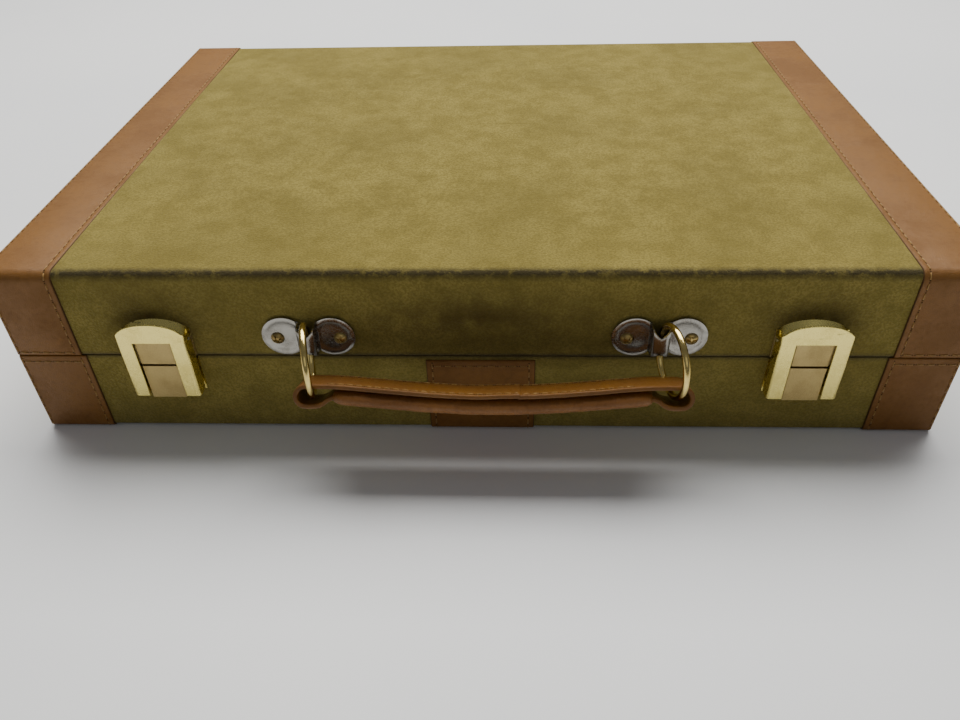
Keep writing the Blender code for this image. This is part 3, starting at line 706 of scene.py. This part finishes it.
def make_housing(label, centre):
    """The arched block behind the hasp, with the raised panel that shows in its window."""
    low = LID_RIM + 0.3
    arcs = [(-x, 1) for x in (14.9, 14.3, 13.3, 12.0, 10.4)] + [(-8.6, 1), (-8.3, 2)]
    arcs += [(-x, 2) for x in (7.0, 5.2, 3.5, 1.7)]
    half = [(-16.5, 0), (-15.0, 0)] + arcs
    stations = half + [(0.0, 2)] + [(-x, kind) for x, kind in half[::-1]]
    loops = []
    for x, kind in stations:
        block = -0.2 if kind == 0 else 5.9
        panel = 6.7 if kind == 2 else block
        top = 63.9 if kind == 0 else arch(x, 16.0, 61.6, 7.8)
        shoulder = 63.9 if kind == 0 else min(62.2, top - 0.6)
        outline = ((-1.2, low), (panel, low), (panel, 60.3), (block, 60.3), (block, shoulder), (-1.2, top))
        loops.append([(centre + x, front(out), z) for out, z in outline])
    mesh = Mesh()
    loft(mesh, loops)
    count = len(loops[0])
    for index in range((len(loops) - 1) * count):
        mesh.slots[index] = 1 if index % count >= 3 else 0
    name = f"latch_housing_{label}"
    place(f"latch_panel_{label}", mesh, [BRUSHED, BRASS], "lid", (name,), bevel=0.2)


# ---------------------------------------------------------------- brackets, screws, rings


def bracket_half(x):
    """The bracket's bottom and top edge at x from its middle."""
    x = abs(x)
    lobe = math.sqrt(max(0.0, 10.75**2 - (max(x, 4.3) - 11.55) ** 2))
    ease = (min(x, 4.3) / 4.3) ** 1.5
    return 53.4 + ease * (BRACKET_Z - lobe - 53.4), 63.0 + ease * (BRACKET_Z + lobe - 63.0)


def make_bracket(label, centre):
    """A pressed nickel plate: two dished lobes and the tunnel between them."""
    half = [(-11.55 - 10.75 * math.cos(math.radians(a)), -0.4) for a in (8, 16, 24, 33, 43, 54, 66, 78)]
    half += [(x, -0.4) for x in (-11.5, -10.2, -9.0, -7.8, -6.6, -5.6, -4.9)]
    half += [(-4.35, 0.0), (-4.1, 0.6), (-3.98, 1.8), (-3.95, 3.4)]
    half += [(-3.85, 4.6), (-3.45, 5.4), (-2.6, 5.8), (-1.3, 5.9)]
    path = half + [(0.0, 5.9)] + [(-x, out) for x, out in half[::-1]]
    grid = []
    for (x, out), pair in zip(path, both_sides(path, 0.9)):
        bottom, top = bracket_half(x)
        line = []
        for step in range(13):
            part = -1 + step / 6
            part = math.copysign(abs(part) ** 0.75, part)
            z = (bottom + top) / 2 + part * (top - bottom) / 2
            from_lobe = math.hypot(abs(x) - 11.55, z - BRACKET_Z) / 10.75
            lift = 0.0
            if out < 0:
                rim = min(1.0, max(0.0, (from_lobe - 0.62) / 0.22)) ** 2
                lift = 0.75 * rim * (1.0 if from_lobe < 0.93 else 0.7)
            else:
                lift = -0.35 * abs(part) ** 6 if out > 5 else 0.0
            line.append([(centre + side[0], front(side[1] + lift), z) for side in pair])
        grid.append(line)
    mesh = Mesh()
    sheet(mesh, grid)
    name = f"bracket_{label}"
    place(f"ring_bracket_{label}", mesh, [NICKEL], "lid", (name,), angle=50.0, bevel=0.18)


def make_screw(number, x, turn_degrees):
    """A domed head with a crossed recess."""
    plain = ((1.3, -1.0), (2.9, -0.9), (3.3, -0.7), (3.25, -0.3), (2.95, 0.25), (2.5, 0.68), (2.1, 0.95))
    recessed = ((1.8, 1.12), (1.45, 1.28), (1.05, 1.40), (0.7, 1.48), (0.4, 1.52))
    loops = []
    for ring, (radius, height) in enumerate(plain + recessed):
        crossed = ring >= len(plain)
        loop = []
        for index in range(48):
            turn = math.tau * index / 48
            deep = crossed and abs(math.sin(2 * turn)) < 0.45 / max(0.45, radius) * 1.3
            drop = 0.75 if deep or (crossed and radius < 0.75) else 0.0
            angle = turn + math.radians(turn_degrees)
            z = BRACKET_Z - SCREW_DROP + radius * math.sin(angle)
            loop.append((x + radius * math.cos(angle), front(height - drop + SCREW_OUT), z))
        loops.append(loop)
    mesh = Mesh()
    loft(mesh, loops)
    place(f"screw_head_{number}", mesh, [SCREW], "lid", (f"bracket_screw_{number}",), angle=28.0)


def ring_centre(bracket):
    out = RING_R * math.cos(RING_LEAN)
    return Vector((bracket + RING_R * math.sin(RING_LEAN), front(RING_BACK_OUT) - out, RING_Z))


def make_ring(label, bracket):
    centre = ring_centre(bracket)
    loops = []
    for step in range(96):
        turn = math.tau * step / 96
        loop = []
        for index in range(18):
            around = math.tau * index / 18
            reach = RING_R + RING_WIRE_R * math.cos(around)
            side = RING_WIRE_R * math.sin(around)
            out = reach * math.cos(turn)
            x = out * math.sin(RING_LEAN) + side * math.cos(RING_LEAN)
            y = -out * math.cos(RING_LEAN) + side * math.sin(RING_LEAN)
            loop.append((centre.x + x, centre.y + y, centre.z + reach * math.sin(turn)))
        loops.append(loop)
    mesh = Mesh()
    loft(mesh, loops, closed=True)
    name = f"ring_{label}"
    place(f"wire_ring_{label}", mesh, [GOLD], name, (name,), angle=80.0)


# ---------------------------------------------------------------- handle


def handle_point(x, across, radial):
    """A point on the tilted handle, from its distance across it and its distance from the rings' middle."""
    out = across * math.cos(HANDLE_TILT) + radial * math.sin(HANDLE_TILT)
    up = across * math.sin(HANDLE_TILT) - radial * math.cos(HANDLE_TILT)
    return (x, ring_centre(0.0).y - out, RING_Z + up)


def droop(x):
    """How far the handle sags between its rings."""
    part = min(1.0, abs(x - HANDLE_X) / 74.0)
    return 4.5 * (1 - part**2) ** 1.5


def strap_path():
    """(x, radial, half width) of the strap's middle line, once round both rings."""
    left, right = LOOP_ARC_X
    middle = (STRAP_TOP_N + STRAP_LOOP_N) / 2
    radius = (STRAP_LOOP_N - STRAP_TOP_N) / 2
    path = []
    xs = spaced(left + 2.5, right - 2.5, 46)
    lap = [SEAM_X + off for off in (-0.5, -0.15, 0.1, 0.6)]
    xs = sorted([x for x in xs if abs(x - SEAM_X) > 1.2] + lap)
    for x in xs:
        over = 0.42 if SEAM_X - 16.0 < x < SEAM_X else 0.0
        over *= min(1.0, (x - SEAM_X + 16.0) / 8.0) if over else 1.0
        path.append((x, STRAP_TOP_N - over + droop(x), 8.5 + droop(x) / 9))
    for step in range(17):
        turn = math.pi * step / 16
        path.append((right + radius * math.sin(turn), middle - radius * math.cos(turn), 8.5))
    path += [(right - 3.0, STRAP_LOOP_N, 8.5), (right - 5.5, STRAP_LOOP_N - 0.3, 8.5)]
    path += [(right - 7.8, STRAP_LOOP_N - 1.4, 8.3), (right - 10.0, 0.4, 7.6), (right - 12.0, -0.1, 6.6)]
    path += [(x, -0.2 + droop(x), 6.0) for x in spaced(right - 14.5, left + 14.5, 24)]
    path += [(left + 12.0, -0.1, 6.6), (left + 10.0, 0.4, 7.6), (left + 7.8, STRAP_LOOP_N - 1.4, 8.3)]
    path += [(left + 5.5, STRAP_LOOP_N - 0.3, 8.5), (left + 3.0, STRAP_LOOP_N, 8.5)]
    for step in range(17):
        turn = math.pi * (1 + step / 16)
        path.append((left + radius * math.sin(turn), middle - radius * math.cos(turn), 8.5))
    return path


def make_strap():
    path = strap_path()
    mesh = Mesh()
    loops = []
    edge = [(-1.0, -0.35), (-1.0, 0.35), (-0.985, 0.8)]
    face = [(-0.95, 1.0), (-0.8, 1.0), (0.0, 1.0), (0.8, 1.0), (0.95, 1.0)]
    half = [(*point, 1.0) for point in edge] + [(*point, 0.0) for point in face] + [(0.985, 0.8, 1.0)]
    section = half + [(-across, -level, mark) for across, level, mark in half]
    sides = both_sides([point[:2] for point in path], STRAP_T, closed=True)
    for (x, n, half), (low, high) in zip(path, sides):
        loop = []
        for across, level, mark in section:
            part = (level + 1) / 2
            px = low[0] + (high[0] - low[0]) * part
            pn = low[1] + (high[1] - low[1]) * part
            wave = 0.12 * noise.noise(Vector((px / 9.0, across * 2.0, pn / 9.0)))
            loop.append(handle_point(px, across * half, RING_R + pn + wave))
        loops.append(loop)
    loft(mesh, loops, closed=True, edges=[mark for across, level, mark in section])
    place("handle_strap_leather", mesh, [STRAP], "handle", ("handle_strap",), angle=55.0)
    seams = Mesh()
    up = Vector(handle_point(0.0, 0.0, 0.0)) - Vector(handle_point(0.0, 0.0, 1.0))
    for sign in (-1, 1):
        row = []
        for x, n, half in path[2:44]:
            row.append((Vector(handle_point(x, sign * (half - 2.0), RING_R + n - 1.02)), up))
        stitch_row(seams, row, STRAP_PITCH, 900 + sign, radius=0.30)
    place("handle_stitches", seams, [THREAD, HOLE_SHADE], "handle", angle=60.0)


def grip_form():
    """The grip before it is stuffed: a soft-cornered bar under the strap."""
    mesh = Mesh()
    loops = []
    left, right = GRIP_ENDS_X
    for x in spaced(left, right, 49):
        end = min(1.0, min(x - left, right - x) / 5.0)
        fat = 0.72 + 0.28 * math.sin(end * math.pi / 2)
        half = 8.9 * fat
        middle = -0.35
        loop = []
        for index in range(24):
            turn = math.tau * (index + 0.5) / 24
            across = half * math.copysign(abs(math.cos(turn)) ** 0.62, math.cos(turn))
            radial = middle + 3.75 * fat * math.copysign(abs(math.sin(turn)) ** 0.72, math.sin(turn))
            loop.append(handle_point(x, across, RING_R + radial + droop(x)))
        loops.append(loop)
    loft(mesh, loops)
    return mesh


def stuff(made):
    """Swells the grip with a short cloth simulation, holding each point near where it started."""
    rest = [v.co.copy() for v in made.data.vertices]
    step = made.modifiers.new("Cloth", "CLOTH")
    settings = step.settings
    settings.use_pressure = True
    settings.uniform_pressure_force = 3.0
    settings.effector_weights.gravity = 0.0
    settings.quality = 6
    settings.tension_stiffness = 30
    settings.bending_stiffness = 2.0
    scene = bpy.context.scene
    for number in range(1, 13):
        scene.frame_set(number)
    graph = bpy.context.evaluated_depsgraph_get()
    swollen = [v.co.copy() for v in made.evaluated_get(graph).data.vertices]
    made.modifiers.remove(step)
    scene.frame_set(1)
    for vertex, old, new in zip(made.data.vertices, rest, swollen):
        move = new - old
        if move.length > GRIP_SWELL_CAP * MM:
            move = move.normalized() * GRIP_SWELL_CAP * MM
        vertex.co = old + move


def make_grip():
    replaced = ("handle_grip",)
    made = place("handle_grip_leather", grip_form(), [GRIP], "handle", replaced, angle=60.0)
    step = made.modifiers.new("Remesh", "REMESH")
    step.mode = "VOXEL"
    step.voxel_size = GRIP_VOXEL * MM
    graph = bpy.context.evaluated_depsgraph_get()
    data = bpy.data.meshes.new_from_object(made.evaluated_get(graph))
    made.modifiers.remove(step)
    data.materials.clear()
    data.materials.append(GRIP)
    made.data = data
    stuff(made)
    middle = Vector(handle_point(HANDLE_X, 0.0, RING_R)) * MM
    for vertex in made.data.vertices:
        x = vertex.co.x / MM
        y = vertex.co.y / MM
        z = vertex.co.z / MM
        fold = noise.noise(Vector((x / 2.6, y / 11.0, z / 11.0)))
        fold += 0.6 * noise.noise(Vector((x / 7.0, y / 9.0, z / 9.0)))
        centre = Vector((vertex.co.x, middle.y, middle.z))
        away = (vertex.co - centre).normalized()
        vertex.co += away * fold * GRIP_FOLD_DEPTH * MM
    values = made.data.attributes.new("edge", "FLOAT", "POINT")
    values.data.foreach_set("value", [0.0] * len(made.data.vertices))
    made.data.shade_smooth()


# ---------------------------------------------------------------- carried-over nodes


def dress(name, made, bevel=0.0):
    node = NODES[name]
    node.data.materials.clear()
    node.data.materials.append(made)
    if bevel:
        add_bevel(node, bevel)


def dress_nodes():
    for name in NODES:
        if name.startswith("tray"):
            along_y = "cross" in name or name.endswith(("left_wall", "right_wall"))
            dress(name, OAK_Y if along_y else OAK_X, 0.4)
        elif name.endswith("_board"):
            dress(name, PLY, 0.4)
        elif name.endswith("_lining"):
            dress(name, LINING)
        elif "hinge_leaf" in name:
            dress(name, BRASS, 0.2)
        elif "pin" in name or "spring" in name:
            dress(name, STEEL)
        elif name.startswith("thumb_tab"):
            dress(name, BRUSHED, 0.35)
        elif name.startswith("latch_base"):
            dress(name, BRASS, 0.25)


# ---------------------------------------------------------------- stage


def make_camera():
    yaw = CAMERA_YAW
    level_part = math.cos(CAMERA_DOWN)
    forward = Vector((math.sin(yaw) * level_part, math.cos(yaw) * level_part, -math.sin(CAMERA_DOWN)))
    level = Vector((math.cos(yaw), -math.sin(yaw), 0.0))
    right = level * math.cos(CAMERA_ROLL) + level.cross(forward) * math.sin(CAMERA_ROLL)
    up = right.cross(forward)
    data = bpy.data.cameras.new("camera")
    data.lens = CAMERA_LENS
    data.sensor_width = 36.0
    data.clip_start = 0.01
    camera = bpy.data.objects.new("camera", data)
    axes = Matrix((right, up, -forward)).transposed()
    camera.matrix_world = Matrix.Translation(CAMERA_PLACE) @ axes.to_4x4()
    bpy.context.scene.collection.objects.link(camera)
    bpy.context.scene.camera = camera


def make_light(name, location, target, size, power, colour=(1.0, 1.0, 1.0)):
    data = bpy.data.lights.new(name, "AREA")
    data.shape = "RECTANGLE"
    data.size, data.size_y = size
    data.energy = power
    data.color = colour
    light = bpy.data.objects.new(name, data)
    light.location = location
    light.rotation_mode = "QUATERNION"
    light.rotation_quaternion = (Vector(target) - Vector(location)).to_track_quat("-Z", "Y")
    bpy.context.scene.collection.objects.link(light)


def make_stage():
    data = bpy.data.meshes.new("table")
    corners = [(x, y, TABLE_Z) for x, y in ((-6, -6), (6, -6), (6, 6), (-6, 6))]
    data.from_pydata(corners, [], [(0, 1, 2, 3)])
    table = bpy.data.objects.new("table", data)
    data.materials.append(floor_paint())
    bpy.context.scene.collection.objects.link(table)
    world = bpy.data.worlds.new("studio")
    world.use_nodes = True
    world.node_tree.nodes["Background"].inputs["Color"].default_value = (0.92, 0.95, 1.0, 1.0)
    world.node_tree.nodes["Background"].inputs["Strength"].default_value = 0.15
    bpy.context.scene.world = world
    make_light("overhead", (0.0, 0.75, 1.5), (0.0, 0.05, 0.0), (2.2, 1.2), 58.0, (1.0, 0.99, 0.95))
    make_light("front_fill", (0.3, -1.6, 1.1), (0.0, 0.0, 0.05), (1.6, 0.8), 1.4)


# ---------------------------------------------------------------- the case

make_camera()
make_stage()
make_cover("lid", LID_RIM, HEIGHT - SUEDE_STEP, 1, LID_CROWN)
make_cover("base", BASE_RIM, SUEDE_STEP, -1, BASE_CROWN)
for label, sign in (("left", -1), ("right", 1)):
    make_band(
        f"lid_leather_{label}", "lid", sign * 195.0, sign * 227.0, LID_RIM, 1,
        f"lid_band_{label}", (3.0, 31.0), 1.9, 10 + sign,
    )
    make_band(
        f"base_leather_{label}", "base", sign * 193.0, sign * 227.0, BASE_RIM, -1,
        f"base_band_{label}", (3.0, 33.0), 3.4, 20 + sign,
    )
make_band(
    "base_leather_centre", "base", -26.0, 27.0, BASE_RIM, -1,
    "base_band_centre", (3.0, 50.0), 3.2, 31, 45.0,
)
for label in ("left", "right"):
    make_hasp(label, LATCH_X[label])
    make_housing(label, LATCH_X[label])
    make_bracket(label, BRACKET_X[label])
    make_ring(label, BRACKET_X[label])
screws = (("left", -1, 20), ("left", 1, 63), ("right", -1, 41), ("right", 1, 8))
for number, (bracket, side, turn) in enumerate(screws):
    make_screw(number + 1, BRACKET_X[bracket] + side * SCREW_OFFSET, turn)
make_strap()
make_grip()
dress_nodes()
